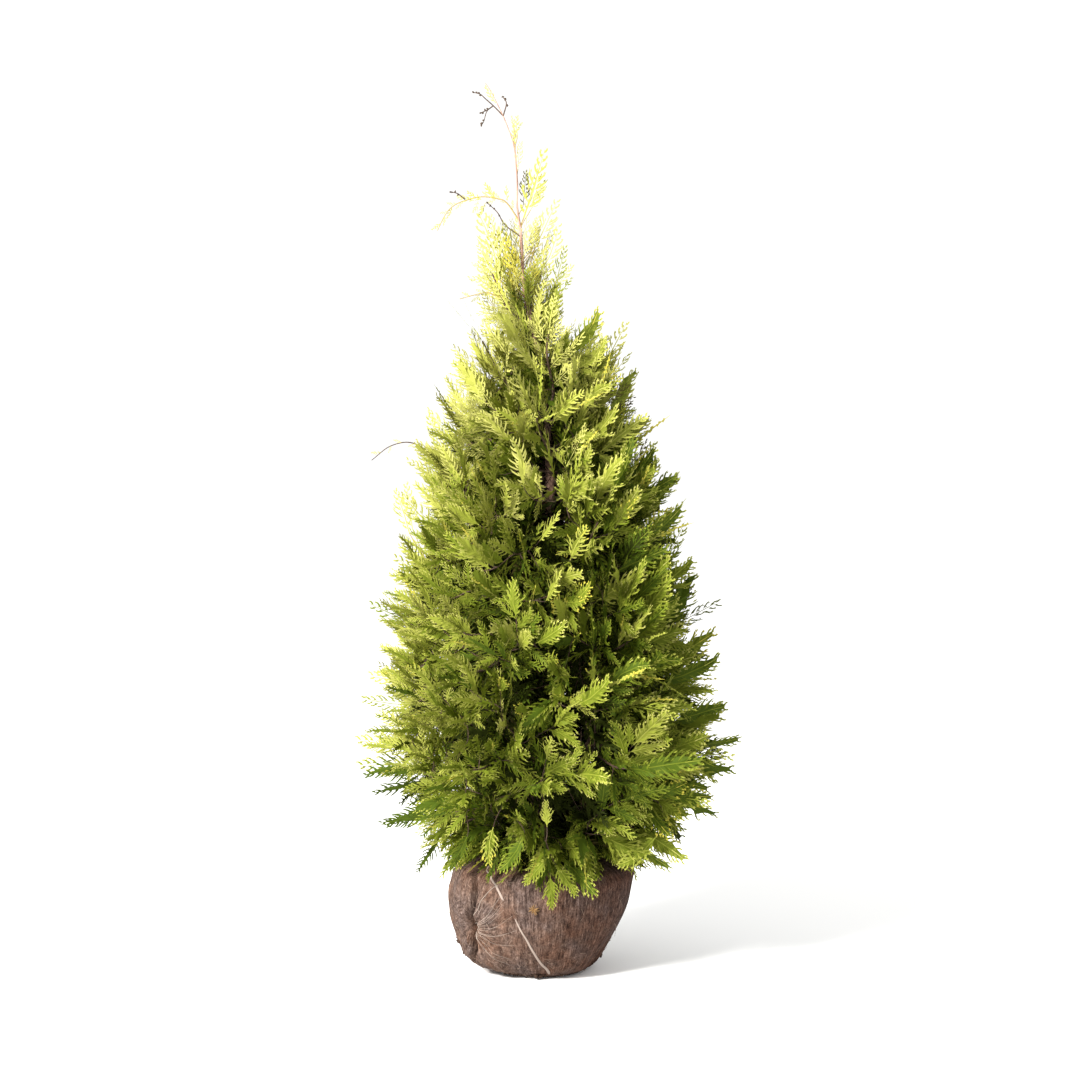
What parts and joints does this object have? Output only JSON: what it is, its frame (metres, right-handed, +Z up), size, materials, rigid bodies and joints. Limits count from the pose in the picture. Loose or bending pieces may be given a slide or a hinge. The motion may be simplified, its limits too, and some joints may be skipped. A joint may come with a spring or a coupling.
{
  "type": "root-balled lawson cypress",
  "caption": "Young golden conifer with a conical crown of flat sprays, standing on its hessian-wrapped root ball.",
  "frame": {"origin": "middle of the flat underside of the root ball", "axes": "+Z up along the trunk, +X to the plant's right as seen from the front, the front faces -Y"},
  "size_m": [0.7361, 0.6675, 1.7106],
  "materials": {
    "foliage": "golden to lime green flat sprays of scale leaves, satin, greener in the shade",
    "bark": "matt reddish-brown bark with fine lengthwise fissures",
    "hessian_ball": "matt dark brown hessian, ribbed by its fibres, over damp soil"
  },
  "bodies": {
    "root": {"bough_lower_1": "bark", "bough_lower_2": "bark", "bough_lower_3": "bark", "bough_lower_4": "bark", "bough_lower_5": "bark", "bough_lower_6": "bark", "bough_middle_1": "bark", "bough_middle_2": "bark", "bough_middle_3": "bark", "bough_middle_4": "bark", "bough_middle_5": "bark", "bough_shoulder_1": "bark", "bough_shoulder_2": "bark", "bough_shoulder_3": "bark", "bough_shoulder_4": "bark", "bough_skirt_1": "bark", "bough_skirt_2": "bark", "bough_skirt_3": "bark", "bough_skirt_4": "bark", "bough_skirt_5": "bark", "bough_skirt_6": "bark", "bough_upper_1": "bark", "bough_upper_2": "bark", "bough_upper_3": "bark", "bough_upper_4": "bark", "foliage_crest_1": "foliage", "foliage_crest_2": "foliage", "foliage_lower_1": "foliage", "foliage_lower_2": "foliage", "foliage_lower_3": "foliage", "foliage_lower_4": "foliage", "foliage_lower_5": "foliage", "foliage_lower_6": "foliage", "foliage_middle_1": "foliage", "foliage_middle_2": "foliage", "foliage_middle_3": "foliage", "foliage_middle_4": "foliage", "foliage_middle_5": "foliage", "foliage_neck_1": "foliage", "foliage_neck_2": "foliage", "foliage_neck_3": "foliage", "foliage_plume_left": "foliage", "foliage_plume_right": "foliage", "foliage_shoulder_1": "foliage", "foliage_shoulder_2": "foliage", "foliage_shoulder_3": "foliage", "foliage_shoulder_4": "foliage", "foliage_skirt_1": "foliage", "foliage_skirt_2": "foliage", "foliage_skirt_3": "foliage", "foliage_skirt_4": "foliage", "foliage_skirt_5": "foliage", "foliage_skirt_6": "foliage", "foliage_upper_1": "foliage", "foliage_upper_2": "foliage", "foliage_upper_3": "foliage", "foliage_upper_4": "foliage", "root_ball": "hessian_ball", "trunk": "bark"}
  },
  "joints": []
}
